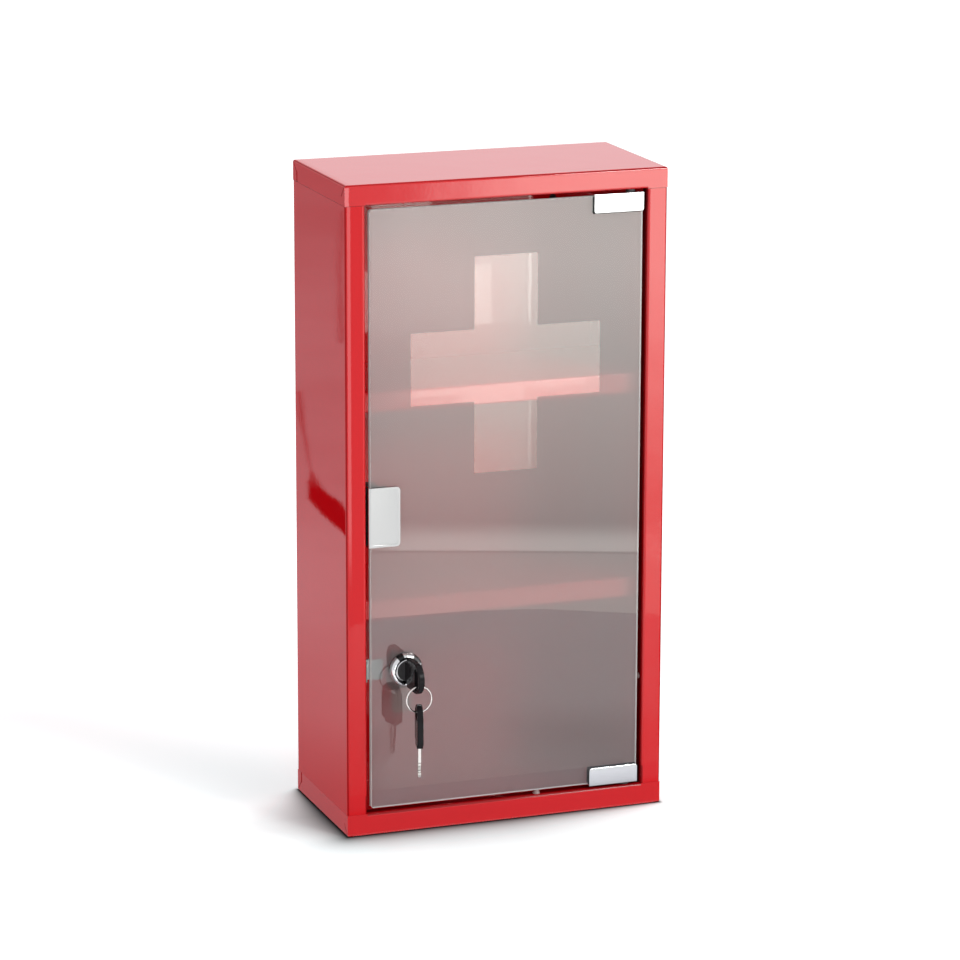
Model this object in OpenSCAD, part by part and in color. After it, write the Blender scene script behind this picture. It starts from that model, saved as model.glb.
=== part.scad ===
// Lockable medicine cabinet: a folded sheet-steel carcase with two fixed shelves, a frameless
// glass door on pivot clips, a magnetic catch and a cam lock with two keys on a ring.
// Origin: centre of the underside. +X towards the hinges, +Y towards the wall, +Z up.

/* [Carcase] */
// Outer width
cab_w = 245; // [220:1:320]
// Outer depth, back panel included
cab_d = 120; // [110:1:180]
// Outer height
cab_h = 480; // [460:1:600]
// Thickness of the sheet steel
sheet_t = 1; // [0.7:0.1:1.2]
// Inside radius of every fold
fold_r = 0.7; // [0.4:0.1:0.9]
// Width of the front frame at the sides, and height of the roof's flanges
frame_w = 15; // [13:0.5:18]
// Height of the floor tray's flanges
base_h = 16.2; // [14:0.1:19]
// Depth of the lip that is folded back round the door opening
lip_d = 10; // [9.5:0.5:10.5]
// Joint left between a tray and a side panel
seam_gap = 0.2; // [0.1:0.1:0.6]
// Width of the side panels' rear flanges
rear_flange_w = 12; // [8:1:20]
// Height of the weld tabs behind the tray flanges
tab_h = 9; // [6:0.5:11]
// Margin of the back panel inside the carcase outline
back_margin = 1.2; // [0.8:0.1:3]
// Radius of the four wall fixing holes
wall_hole_r = 3; // [2:0.1:4]
// Distance of the wall holes from the sides
wall_hole_side = 42.5; // [30:0.5:60]
// Distance of the upper wall holes from the top
wall_hole_top = 40; // [30:1:60]
// Distance of the lower wall holes from the underside
wall_hole_bottom = 60; // [30:1:80]

/* [Corner reliefs] */
// Distance of the rear relief slot from the rear of a tray
slot_inset = 9; // [7:0.5:14]
// Width of the rear relief slot
slot_w = 2.4; // [1.5:0.1:4]
// Height of the rear relief slot
slot_h = 8; // [5:0.5:10]
// Width of the slanted corner nicks
nick_w = 0.7; // [0.4:0.1:1.2]
// Length of the front corner nick
nick_len = 9; // [5:0.5:11]

/* [Shelves] */
// Top of the lower shelf above the underside
lower_shelf_z = 171.5; // [165:0.5:180]
// Top of the upper shelf above the underside
upper_shelf_z = 326; // [305:0.5:335]
// Distance of the shelf fronts behind the front of the carcase
shelf_setback = 19; // [18:0.5:30]
// Height of the shelf's front flange
shelf_front_h = 15; // [10:0.5:20]
// Height of the shelf's end flanges
shelf_end_h = 12; // [8:0.5:16]
// Width of the hem under the front flange
shelf_hem = 6; // [4:0.5:10]
// Gap between a shelf and the folds behind it
shelf_gap = 0.2; // [0.1:0.1:1]

/* [Door] */
// Thickness of the glass
glass_t = 4; // [3.8:0.1:4.2]
// Gap between glass and frame at each side
side_gap = 3.5; // [3.3:0.1:4.5]
// Gap between glass and frame at top and bottom
end_gap = 3.5; // [3.3:0.1:4.5]
// How far the glass lies behind the front of the frame
door_recess = 1.3; // [1.2:0.1:1.5]
// Corner radius of the glass
glass_corner_r = 2.5; // [1:0.5:6]
// Width of the ground edge
arris = 0.5; // [0.2:0.1:1]
// Width of one square of the clear cross
cross_w = 48.3; // [30:0.1:50]
// Height of one square of the clear cross
cross_h = 53; // [30:0.5:55]
// Height of the cross's middle above the underside
cross_z = 343.5; // [330:0.5:360]
// How far the sand-blasted ground lies below the clear cross
blast_d = 0.15; // [0.1:0.05:0.3]

/* [Hinges] */
// Width of a hinge clip
clip_w = 38; // [30:0.5:50]
// How far a clip reaches over the glass
clip_reach = 12.5; // [10:0.5:20]
// Thickness of a clip's front plate
clip_front_t = 1.3; // [1:0.1:1.6]
// Thickness of a clip's rear jaw
clip_jaw_t = 5; // [4:0.1:5.4]
// Thickness of the web across the glass edge
clip_web_t = 1.1; // [0.9:0.1:1.2]
// Gap between the web and the glass edge
clip_edge_gap = 0.3; // [0.2:0.1:0.4]
// Radius of the clip's inner corners
clip_corner_r = 2.2; // [1:0.1:4]
// Thickness of the plastic pads on the glass
pad_t = 0.4; // [0.3:0.1:0.5]
// How far a hinge pad shows beside its clip
pad_show = 0.8; // [0.2:0.1:1.5]
// Distance of the pivot from the glass's hinge edge
pivot_inset = 8; // [7:0.5:9]
// Distance of the pivot behind the back of the glass
pivot_offset = 0.7; // [0.5:0.1:1]
// Radius of the pivot pins
pivot_r = 1.75; // [1.5:0.05:1.9]
// Length of the pivot pins above the clip
pivot_len = 8; // [6:0.5:10]
// Radius of the pin's riveted foot
pivot_foot_r = 1.2; // [0.9:0.1:1.3]
// Wall of a pivot bush
bush_wall = 0.8; // [0.6:0.05:0.9]
// Radius of a bush's flange
bush_flange_r = 3.4; // [3.1:0.1:3.6]
// Length of a bush's sleeve
bush_len = 6.5; // [5:0.5:8]
// Radius of a clamp screw
clamp_r = 2; // [1.5:0.1:2.5]
// Distance of the clamp screws from the clip's ends
clamp_inset = 9; // [6:0.5:12]

/* [Handle and magnetic catch] */
// Width of the handle's front plate
handle_w = 24; // [18:0.5:30]
// Height of the handle
handle_h = 44; // [36:0.5:60]
// Height of the handle's middle above the underside
handle_z = 238; // [225:0.5:250]
// Thickness of the handle's plate
handle_t = 1.4; // [1.2:0.1:1.6]
// Inside radius of the handle's two bends
handle_bend_r = 0.6; // [0.5:0.05:0.9]
// Corner radius of the handle
handle_corner_r = 3; // [1.5:0.5:6]
// Width of the raised rim round the handle's face
handle_rim = 1.6; // [1:0.1:3]
// Depth of the dished face inside the rim
dish_d = 0.45; // [0.2:0.05:0.6]
// Radius of the dished face's hollow
dish_r = 180; // [120:5:400]
// Length of the handle's rear leg, the striker of the catch
striker_len = 15; // [13:0.5:20]
// Width of the catch housing inside the opening
catch_w = 12; // [10:0.5:16]
// Depth of the catch housing
catch_d = 12; // [10:0.5:14]
// Length of the catch housing's jaw behind the lip
catch_jaw = 3; // [2:0.5:5]
// Size of the magnet: width, depth, height
magnet = [5, 6, 24];
// Thickness of the pole plates
pole_t = 1.2; // [0.8:0.1:1.5]
// How far the pole plates stand out of the housing
pole_proud = 0.3; // [0.2:0.1:0.5]

/* [Lock] */
// Distance of the lock from the glass's opening edge
lock_inset = 26.5; // [24:0.5:28]
// Height of the lock above the underside
lock_z = 123; // [110:0.5:130]
// Radius of the lock's bezel
bezel_r = 12.6; // [11.6:0.1:13.5]
// How far the bezel stands out of the glass
bezel_h = 5.5; // [4:0.1:7]
// Width of the bezel's crowned flank
bezel_crown = 2.8; // [1.5:0.1:3]
// Radius of the lock's threaded barrel
barrel_r = 9.4; // [9:0.1:9.8]
// Length of the barrel behind the glass's front
barrel_len = 21; // [20.5:0.5:23]
// Radius of the plug
plug_r = 7.45; // [7:0.05:7.8]
// Distance across the flats of the lock nut
nut_af = 24; // [22:0.5:25]
// Thickness of the lock nut
nut_t = 3.5; // [2.5:0.1:3.6]
// Width of the square drive on the plug
drive_w = 8; // [7:0.1:9]
// Thickness of the cam
cam_t = 1.6; // [1.4:0.1:1.8]
// Width of the cam
cam_w = 15; // [12:0.5:16]
// Length of the cam from the lock's axis
cam_len = 35; // [34:0.5:38]
// Distance of the cam's crank from the lock's axis
crank_r = 17; // [16:0.5:20]
// Radius of the cam screw
cam_screw_r = 2; // [1.5:0.1:2.2]
// Width of the keeper behind the lip
keeper_w = 14.5; // [12:0.5:15]
// Thickness of the keeper
keeper_t = 1.2; // [1:0.1:1.5]

/* [Keys] */
// Width of a key's bow
bow_w = 22.5; // [21:0.5:24]
// Length of a key's bow
bow_len = 31; // [28:0.5:33]
// Thickness of a key's bow
bow_t = 4.4; // [4:0.1:4.6]
// Width of the bow's slot along the key
bow_slot = 4.4; // [4:0.1:5]
// Material between the slot and the bow's end
bow_end = 4.4; // [4:0.1:5]
// Material between the slot and the bow's edge
bow_edge = 3.6; // [3.4:0.1:3.8]
// Length of a key's blade
blade_len = 23.5; // [20:0.5:23.5]
// Width of a key's blade
blade_w = 7.6; // [6.5:0.1:8]
// Width of the bitted end of the blade
bitted_w = 5.6; // [5:0.1:6]
// Thickness of a key's blade
blade_t = 2; // [1.6:0.1:2.2]
// Radius of the key ring at the middle of its wire
ring_r = 9.5; // [9:0.1:11]
// Radius of the key ring's wire
wire_r = 0.6; // [0.5:0.05:0.7]
// Turn of the hanging key from the lock's plane, in degrees
spare_turn = 14; // [0:1:20]

/* [Clearances] */
// Radial clearance of a turning fit
run_fit = 0.05; // [0.02:0.01:0.08]
// Clearance between parts that slide past each other
slide_gap = 0.15; // [0.1:0.05:0.25]
// Clearance between faces that move past each other
face_gap = 0.3; // [0.2:0.05:0.4]
// Clearance of the cam behind the lip
cam_gap = 0.4; // [0.3:0.05:0.6]
// Clearance between the key ring's wire and the key that hangs on it
hang_gap = 0.5; // [0.45:0.05:0.6]
// Distance between the plug's face and the bow of the key in it
bow_gap = 0.6; // [0.4:0.1:1.2]

/* [Hidden] */
$fn = 48;
fold_out = fold_r + sheet_t;
front_y = -cab_d / 2;
back_y = cab_d / 2;
tray_d = cab_d - sheet_t;
tray_y = -sheet_t / 2;
open_w = cab_w - 2 * frame_w;
lip_x = -open_w / 2;
lip_y = front_y + lip_d;
panel_z = base_h + seam_gap / 2;
panel_h = cab_h - frame_w - seam_gap / 2 - panel_z;
past = 1;

glass_w = open_w - 2 * side_gap;
glass_z = base_h + end_gap;
glass_h = cab_h - frame_w - end_gap - glass_z;
glass_y = front_y + door_recess;
glass_back = glass_y + glass_t;
glass_x = -glass_w / 2;
pivot_x = -glass_x - pivot_inset;
pivot_y = glass_back + pivot_offset;

clip_top = clip_edge_gap + clip_web_t;
clip_y = glass_y - pad_t - clip_front_t;
clip_back = glass_back + pad_t + clip_jaw_t;
clip_x = -glass_x - clip_w;
clamp_z = clip_top - (clip_reach + clip_top) * 0.55;
foot_r = pivot_foot_r;
bush_bore = pivot_r + run_fit;
bush_r = bush_bore + bush_wall;
bush_flange_t = end_gap - clip_top - face_gap;

handle_x = glass_x - pad_t - handle_t;
handle_y = glass_y - pad_t - handle_t;
striker_back = glass_back + pad_t + handle_t;
catch_y = striker_back + face_gap + pole_proud;
catch_back = catch_y + catch_d;
catch_x = lip_x + slide_gap / 2;
magnet_x = lip_x + catch_w / 2;

lock_x = glass_x + lock_inset;
barrel_back = glass_y + barrel_len;
plug_y = glass_y - bezel_h + 0.5;
hub_y = barrel_back + face_gap;
tip_y = lip_y + cam_gap;
nut_y = glass_back + pad_t;
screw_len = 4;
screw_head_h = 1.6;
screw_head_r = 5;
screw_cross_w = 4.5;
screw_cross_t = 0.9;
drive_len = cam_t - 0.1;
keyway_gap = 0.3;
keyway_w = blade_t + 2 * slide_gap;
keyway_h = blade_w + 4 * slide_gap;
bow_y = plug_y - bow_gap;
keeper_z = lock_z - cam_w / 2;
keeper_back = lip_y;
rivet_r = 1.2;
rivet_head_r = 2.1;
rivet_head_h = 0.5;
rivet_inset = 3.5;
rivet_y = lip_y - keeper_t - rivet_inset;
cam_corner_r = 3;

bow_arch = bow_len - bow_w / 2;
bow_chamfer = 0.6;
bow_recess = 0.6;
bow_collar_w = 13;
bow_collar_h = 3;
slot_far = bow_len - bow_end;
slot_mid = slot_far - bow_slot / 2;
slot_half = sqrt(pow(bow_w / 2, 2) - pow(slot_mid - bow_arch, 2)) - bow_edge;
tang_len = 14;
tang_w = 6.4;
tang_gap = 0.05;
strip_v = slot_half + bow_edge / 2;
strip_turn_r = norm([bow_t / 2, bow_edge / 2 - bow_chamfer]);
ring_y = bow_y - slot_mid;
ring_pivot_z = lock_z - strip_v;
ring_z = ring_pivot_z - (ring_r - wire_r - strip_turn_r - face_gap);
wire_z = ring_z - ring_r;
spare_z = wire_z + wire_r + hang_gap - slot_far;
bit_pitch = 2.3;
bit_depths = [1.0, 0.6, 1.2, 0.8, 0.5];

buffer_z = 98;
buffer_r = 2.2;
buffer_h = 1.6;
buffer_shank_r = 1.2;
buffer_y = lip_y - buffer_r - slide_gap;
stop_x = 26;
stop_y = front_y + lip_d / 2;
stop_r = 2.8;
stop_h = end_gap - 2 * face_gap;

steel_red = "#c8102e";
chrome = "#c9ccd0";
zinc = "#9fa8a3";
black = "#1b1b1d";

// ---- Helpers -------------------------------------------------------------------------------

function unit(v) = v / norm(v);

// Extrudes a drawing of X and Z from y0 to y1
module along_y(y0, y1) {
    translate([0, y1, 0]) rotate([90, 0, 0]) linear_extrude(y1 - y0) children();
}

// Extrudes a drawing of Y and Z from x0 to x1
module along_x(x0, x1) {
    translate([x0, 0, 0]) rotate([90, 0, 90]) linear_extrude(x1 - x0) children();
}

// Extrudes a drawing of X and Y from z0 to z1
module along_z(z0, z1) {
    translate([0, 0, z0]) linear_extrude(z1 - z0) children();
}

// Box between two corners
module block(low, high) {
    translate(low) cube(high - low);
}

// Stands a part made about the Z axis on the lock's axis, its +Z out of the door
module on_lock(y) {
    translate([lock_x, y, lock_z]) rotate([90, 0, 0]) children();
}

// Rectangle with its lower left corner at the origin and round corners
module round_rect(w, h, r) {
    translate([r, 0]) square([w - 2 * r, h]);
    translate([0, r]) square([w, h - 2 * r]);
    for (x = [r, w - r], y = [r, h - r]) translate([x, y]) circle(r);
}

// Strip of sheet along the middle line through square corners, folded at radius r outside
module folded_strip(path, t, r) {
    rc = r - t / 2;
    last = len(path) - 1;
    for (i = [0 : last - 1]) {
        u = unit(path[i + 1] - path[i]);
        a = path[i] + (i > 0 ? rc : 0) * u;
        b = path[i + 1] - (i < last - 1 ? rc : 0) * u;
        translate((a + b) / 2) rotate(atan2(u.y, u.x)) square([norm(b - a), t], center = true);
    }
    for (i = [1 : last - 1]) {
        u = unit(path[i] - path[i - 1]);
        v = unit(path[i + 1] - path[i]);
        c = path[i] + (v - u) * rc;
        intersection() {
            translate(c) difference() {
                circle(r);
                circle(r - t);
            }
            translate(c + (u - v) * r / 2) square(r, center = true);
        }
    }
}

// ---- Carcase -------------------------------------------------------------------------------

// Rectangle below the X axis with its two upper corners rounded
module dome_rect(w, h, r) {
    translate([-w / 2, -h]) square([w, h - r]);
    translate([-w / 2 + r, -r]) square([w - 2 * r, r]);
    for (s = [-1, 1]) translate([s * (w / 2 - r), -r]) circle(r);
}

module tray_envelope(w, d, h, r) {
    intersection() {
        along_y(-d / 2, d / 2) dome_rect(w, h, r);
        along_x(-w / 2, w / 2) dome_rect(d, h, r);
    }
}

// Plate with four flanges folded down, its top at z = 0
module tray_shell(w, d, h) {
    difference() {
        tray_envelope(w, d, h, fold_out);
        translate([0, 0, -sheet_t]) tray_envelope(w - 2 * sheet_t, d - 2 * sheet_t, h, fold_r);
    }
}

// Lip folded back from the lower edge of a front flange of height h, between -half and half
module folded_lip(front, h, half, depth) {
    root = -h + fold_out + sheet_t;
    along_x(-half, half) folded_strip([
        [front + sheet_t / 2, root],
        [front + sheet_t / 2, -h + sheet_t / 2],
        [front + depth, -h + sheet_t / 2]
    ], sheet_t, fold_out);
}

// Room for folded_lip in the flange
module lip_room(front, h, half) {
    block([-half, front - past, -h - past], [half, front + sheet_t + fold_r, -h + fold_out + sheet_t]);
}

// Slot and slanted nicks that let a tray's side flange of height h fold
module corner_reliefs(h) {
    rear = tray_d / 2 - slot_inset;
    along_x(-cab_w / 2 - past, -cab_w / 2 + sheet_t + past) {
        translate([rear - slot_w / 2, -h - past])
            square([slot_w, past + slot_h - slot_w / 2]);
        translate([rear, -h + slot_h - slot_w / 2]) circle(slot_w / 2);
        rear_top = [tray_d / 2 - fold_out, -fold_out];
        rear_low = [rear, -h + slot_h - slot_w / 2];
        slanted(rear_low, rear_top);
        front_top = [-tray_d / 2 + fold_out, -fold_out];
        slanted(front_top, front_top + nick_len * [0.65, -0.76]);
    }
}

// Nick of the set width between two points
module slanted(a, b) {
    translate((a + b) / 2) rotate(atan2(b.y - a.y, b.x - a.x)) square([norm(b - a), nick_w], center = true);
    for (p = [a, b]) translate(p) circle(nick_w / 2);
}

// Tray with its plate on top at z = 0 and flanges of height h: the roof, or upside down the floor
module carcase_tray(h) {
    half = open_w / 2 - seam_gap;
    front = -tray_d / 2;
    translate([0, tray_y, 0]) {
        difference() {
            tray_shell(cab_w, tray_d, h);
            lip_room(front, h, half);
            corner_reliefs(h);
            mirror([1, 0, 0]) corner_reliefs(h);
        }
        difference() {
            folded_lip(front, h, half, lip_d);
            translate([pivot_x, pivot_y - tray_y, -h - past]) cylinder(h = sheet_t + 2 * past, r = bush_r + run_fit);
        }
    }
}

module top_cap() {
    color(steel_red) translate([0, 0, cab_h]) carcase_tray(frame_w);
}

module bottom_tray() {
    color(steel_red) difference() {
        mirror([0, 0, 1]) carcase_tray(base_h);
        translate([stop_x, stop_y, base_h]) buffer_hole();
    }
}

// Tabs that run behind one tray's flanges, for the panel's upper end at z = 0. Their roots are
// welded into the panel.
module weld_tabs() {
    z0 = -tab_h * 0.7;
    wall = [-cab_w / 2 + sheet_t / 2, front_y + 2 * lip_d];
    face = [-cab_w / 2 + sheet_t + 2 * fold_out, front_y + sheet_t / 2];
    rear = back_y - 2 * sheet_t - fold_out;
    side = lip_x - sheet_t - 2 * fold_out;
    half_t = sheet_t / 2;
    block([wall.x, wall.y, z0], [wall.x + 3 * half_t, rear, 0]);
    block([wall.x + half_t, wall.y, -sheet_t], [wall.x + 3 * half_t, rear, -z0]);
    block([face.x, face.y, z0], [side, face.y + 3 * half_t, 0]);
    block([face.x, face.y + half_t, -sheet_t], [side, face.y + 3 * half_t, -z0]);
}

// Panel with front frame, lip and rear flange, for the left side
module side_panel() {
    t = sheet_t;
    x = -cab_w / 2 + t / 2;
    rear = back_y - 1.5 * t;
    along_z(panel_z, panel_z + panel_h) folded_strip([
        [-cab_w / 2 + rear_flange_w, rear],
        [x, rear],
        [x, front_y + t / 2],
        [lip_x - t / 2, front_y + t / 2],
        [lip_x - t / 2, lip_y]
    ], t, fold_out);
    translate([0, 0, panel_z + panel_h]) weld_tabs();
    translate([0, 0, panel_z]) mirror([0, 0, 1]) weld_tabs();
}

module left_side() {
    color(steel_red) difference() {
        side_panel();
        translate([lip_x, buffer_y, buffer_z]) rotate([0, 90, 0]) buffer_hole();
        at_rivets() rivet_hole();
    }
}

module right_side() {
    color(steel_red) difference() {
        mirror([1, 0, 0]) side_panel();
        translate([-lip_x, buffer_y, buffer_z]) rotate([0, -90, 0]) buffer_hole();
    }
}

module back_panel() {
    w = cab_w - 2 * back_margin;
    h = cab_h - 2 * back_margin;
    color(steel_red) along_y(back_y - sheet_t, back_y) difference() {
        translate([-w / 2, back_margin]) square([w, h]);
        for (x = [-1, 1], z = [wall_hole_bottom, cab_h - wall_hole_top])
            translate([x * (cab_w / 2 - wall_hole_side), z]) circle(wall_hole_r);
    }
}

// Shelf with a hemmed front flange and two end flanges
module shelf(z) {
    w = cab_w - 2 * sheet_t;
    front = front_y + shelf_setback;
    rear = back_y - 2 * sheet_t - fold_r - shelf_gap;
    d = rear - front + 2 * sheet_t;
    mid = front + d / 2;
    half = w / 2 - 2 * sheet_t;
    color(steel_red) translate([0, mid, z]) difference() {
        union() {
            difference() {
                tray_shell(w, d, shelf_front_h);
                lip_room(-d / 2, shelf_front_h, half);
            }
            folded_lip(-d / 2, shelf_front_h, half, shelf_hem);
        }
        block([-w, rear - mid, -shelf_front_h - past], [w, d, past]);
        block([-w, -d / 2 + sheet_t + shelf_hem, -shelf_front_h - past], [w, d, -shelf_end_h]);
    }
}

module upper_shelf() {
    shelf(upper_shelf_z);
}

module lower_shelf() {
    shelf(lower_shelf_z);
}

// ---- Buffers in the lip --------------------------------------------------------------------

module buffer_hole() {
    translate([0, 0, -sheet_t - past]) cylinder(h = sheet_t + 2 * past, r = buffer_shank_r);
}

// Domed nylon button, its seat on z = 0 and its shank through the sheet
module buffer() {
    dome_r = (pow(buffer_r, 2) + pow(buffer_h, 2)) / (2 * buffer_h);
    intersection() {
        cylinder(h = buffer_h, r = buffer_r);
        translate([0, 0, buffer_h - dome_r]) sphere(dome_r);
    }
    translate([0, 0, -sheet_t]) cylinder(h = sheet_t, r = buffer_shank_r);
    translate([0, 0, -sheet_t - 1]) cylinder(h = 1, r = buffer_shank_r + 0.3);
}

// Tapered stop below the glass, its seat on z = 0 and its shank through the sheet
module sill_stop() {
    cylinder(h = stop_h, r1 = stop_r, r2 = stop_r - 1);
    translate([0, 0, -sheet_t]) cylinder(h = sheet_t, r = buffer_shank_r);
    translate([0, 0, -sheet_t - 1]) cylinder(h = 1, r = buffer_shank_r + 0.3);
}

module edge_buffers() {
    color("#f0e8e4") {
        translate([lip_x, buffer_y, buffer_z]) rotate([0, 90, 0]) buffer();
        translate([-lip_x, buffer_y, buffer_z]) rotate([0, -90, 0]) buffer();
        translate([stop_x, stop_y, base_h]) sill_stop();
    }
}

// ---- Door glass ----------------------------------------------------------------------------

// Cross of five squares
module cross_2d() {
    square([3 * cross_w, cross_h], center = true);
    square([cross_w, 3 * cross_h], center = true);
}

// Section of a plate from y0 to y1 with ground edges, for one direction across the plate
module ground_section(y0, y1, half) {
    polygon([
        [y0, -half + arris], [y0 + arris, -half], [y1 - arris, -half], [y1, -half + arris],
        [y1, half - arris], [y1 - arris, half], [y0 + arris, half], [y0, half - arris]
    ]);
}

module door_glass() {
    color("#b9a6a6", 0.5) difference() {
        union() {
            intersection() {
                along_y(glass_y, glass_back)
                    translate([glass_x, glass_z]) round_rect(glass_w, glass_h, glass_corner_r);
                translate([0, 0, glass_z + glass_h / 2]) along_x(glass_x, -glass_x)
                    ground_section(glass_y, glass_back, glass_h / 2);
                translate([0, 0, glass_z]) linear_extrude(glass_h) rotate(90) mirror([0, 1])
                    ground_section(glass_y, glass_back, glass_w / 2);
            }
            along_y(glass_back, glass_back + blast_d) translate([0, cross_z]) cross_2d();
        }
        on_lock(glass_back + past) cylinder(h = glass_t + 2 * past, r = barrel_r + pad_t);
    }
}

// ---- Hinges --------------------------------------------------------------------------------

// Puts a part made at the glass's upper edge (z = 0) at the top or the bottom of the door
module at_end(top) {
    if (top) translate([0, 0, glass_z + glass_h]) children();
    else translate([0, 0, glass_z]) mirror([0, 0, 1]) children();
}

// Places at the two clamp screws, the jaw's back at local z = 0, +Z to the front
module at_clamps() {
    for (x = [clip_x + clamp_inset, clip_x + clip_w - clamp_inset])
        translate([x, clip_back, clamp_z]) rotate([90, 0, 0]) children();
}

// Die-cast channel over the glass edge, with a thick rear jaw
module hinge_clip() {
    h = clip_reach + clip_top;
    difference() {
        intersection() {
            along_x(clip_x, clip_x + clip_w) difference() {
                translate([clip_y, -clip_reach]) round_rect(clip_back - clip_y, h, 0.6);
                translate([glass_y - pad_t, -clip_reach - past])
                    square([glass_t + 2 * pad_t, clip_reach + past + clip_edge_gap]);
            }
            along_y(clip_y, clip_back) translate([clip_x, -clip_reach])
                round_rect(clip_w, h + clip_corner_r, clip_corner_r);
        }
        translate([pivot_x, pivot_y, 0]) cylinder(h = clip_top + past, r = foot_r + run_fit);
        at_clamps() cylinder(h = clip_jaw_t + past, r = clamp_r + run_fit);
    }
}

module hinge_clip_top() {
    color(chrome) at_end(true) hinge_clip();
}

module hinge_clip_bottom() {
    color(chrome) at_end(false) hinge_clip();
}

module hinge_pads() {
    color(black) for (top = [true, false], y = [glass_y - pad_t, glass_back])
        at_end(top) along_y(y, y + pad_t) translate([clip_x - pad_show, -clip_reach - pad_show / 2])
            round_rect(clip_w + pad_show - arris, clip_reach + pad_show / 2, 1);
}

// Socket grub screws that clamp the glass
module clamp_screws() {
    socket = clamp_r * 0.6;
    color(zinc) for (top = [true, false]) at_end(top) at_clamps() translate([0, 0, 0.2]) difference() {
        cylinder(h = clip_jaw_t - 0.2, r = clamp_r);
        translate([0, 0, -past]) cylinder(h = past + clamp_r, r = socket, $fn = 6);
    }
}

// Pin riveted in the clip's web
module pivot_pin() {
    translate([pivot_x, pivot_y, clip_top]) {
        cylinder(h = pivot_len - 0.5, r = pivot_r);
        translate([0, 0, pivot_len - 0.5]) cylinder(h = 0.5, r1 = pivot_r, r2 = pivot_r - 0.5);
        translate([0, 0, -clip_web_t]) cylinder(h = clip_web_t, r = foot_r);
    }
}

module pivot_pin_top() {
    color(zinc) at_end(true) pivot_pin();
}

module pivot_pin_bottom() {
    color(zinc) at_end(false) pivot_pin();
}

// Flanged nylon bush in the lip, its flange towards the door
module pivot_bush() {
    translate([pivot_x, pivot_y, end_gap]) difference() {
        union() {
            translate([0, 0, -bush_flange_t]) cylinder(h = bush_flange_t, r = bush_flange_r);
            cylinder(h = bush_len, r = bush_r);
        }
        translate([0, 0, -bush_flange_t - past]) cylinder(h = bush_flange_t + bush_len + 2 * past, r = bush_bore);
    }
}

module pivot_bush_top() {
    color("ivory") at_end(true) pivot_bush();
}

module pivot_bush_bottom() {
    color("ivory") at_end(false) pivot_bush();
}

// ---- Handle and catch ----------------------------------------------------------------------

// U of plate over the glass's edge: dished grip in front, striker for the catch behind
module handle_clip() {
    r = handle_t + handle_bend_r;
    rim = handle_rim;
    face_w = handle_w - 2 * rim;
    face_h = handle_h - 2 * rim;
    color(chrome) difference() {
        intersection() {
            along_z(handle_z - handle_h / 2, handle_z + handle_h / 2) folded_strip([
                [handle_x + handle_w, handle_y + handle_t / 2],
                [handle_x + handle_t / 2, handle_y + handle_t / 2],
                [handle_x + handle_t / 2, striker_back - handle_t / 2],
                [handle_x + striker_len, striker_back - handle_t / 2]
            ], handle_t, r);
            along_y(handle_y, striker_back) translate([handle_x - handle_corner_r, handle_z - handle_h / 2])
                round_rect(handle_w + handle_corner_r, handle_h, handle_corner_r);
        }
        intersection() {
            along_y(handle_y - past, handle_y + dish_d) translate([handle_x + rim, handle_z - face_h / 2])
                round_rect(face_w, face_h, handle_corner_r - rim / 2);
            translate([handle_x + handle_w / 2, handle_y + dish_d - dish_r, handle_z - handle_h])
                cylinder(h = 2 * handle_h, r = dish_r, $fn = 360);
        }
    }
}

// Plastic liner between the handle and the glass
module handle_liner() {
    t = pad_t;
    color(black) along_z(handle_z - handle_h / 2 + 1, handle_z + handle_h / 2 - 1) folded_strip([
        [handle_x + handle_w - 1, glass_y - t / 2],
        [glass_x - t / 2, glass_y - t / 2],
        [glass_x - t / 2, glass_back + t / 2],
        [handle_x + striker_len - 1, glass_back + t / 2]
    ], t, handle_bend_r);
}

// Housing that is pushed over the free edge of the lip
module catch_housing() {
    x0 = lip_x - sheet_t - catch_jaw;
    z0 = handle_z - handle_h / 2;
    pocket_w = magnet.x + 2 * pole_t;
    color(black) difference() {
        along_y(catch_y, catch_back) translate([x0, z0]) round_rect(lip_x + catch_w - x0, handle_h, 1);
        block([lip_x - sheet_t - slide_gap / 2, catch_y - past, z0 - past],
              [lip_x + slide_gap / 2, lip_y + slide_gap / 2, z0 + handle_h + past]);
        block([magnet_x - pocket_w / 2, catch_y - past, handle_z - magnet.z / 2],
              [magnet_x + pocket_w / 2, catch_y + magnet.y, handle_z + magnet.z / 2]);
    }
}

module catch_magnet() {
    color("#3a3a3c") block([magnet_x - magnet.x / 2, catch_y, handle_z - magnet.z / 2],
                           [magnet_x + magnet.x / 2, catch_y + magnet.y, handle_z + magnet.z / 2]);
}

module catch_poles() {
    color(zinc) for (s = [-1, 1]) translate([magnet_x + s * (magnet.x + pole_t) / 2, 0, 0])
        block([-pole_t / 2, catch_y - pole_proud, handle_z - magnet.z / 2],
              [pole_t / 2, catch_y + magnet.y, handle_z + magnet.z / 2]);
}

// ---- Lock ----------------------------------------------------------------------------------

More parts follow.
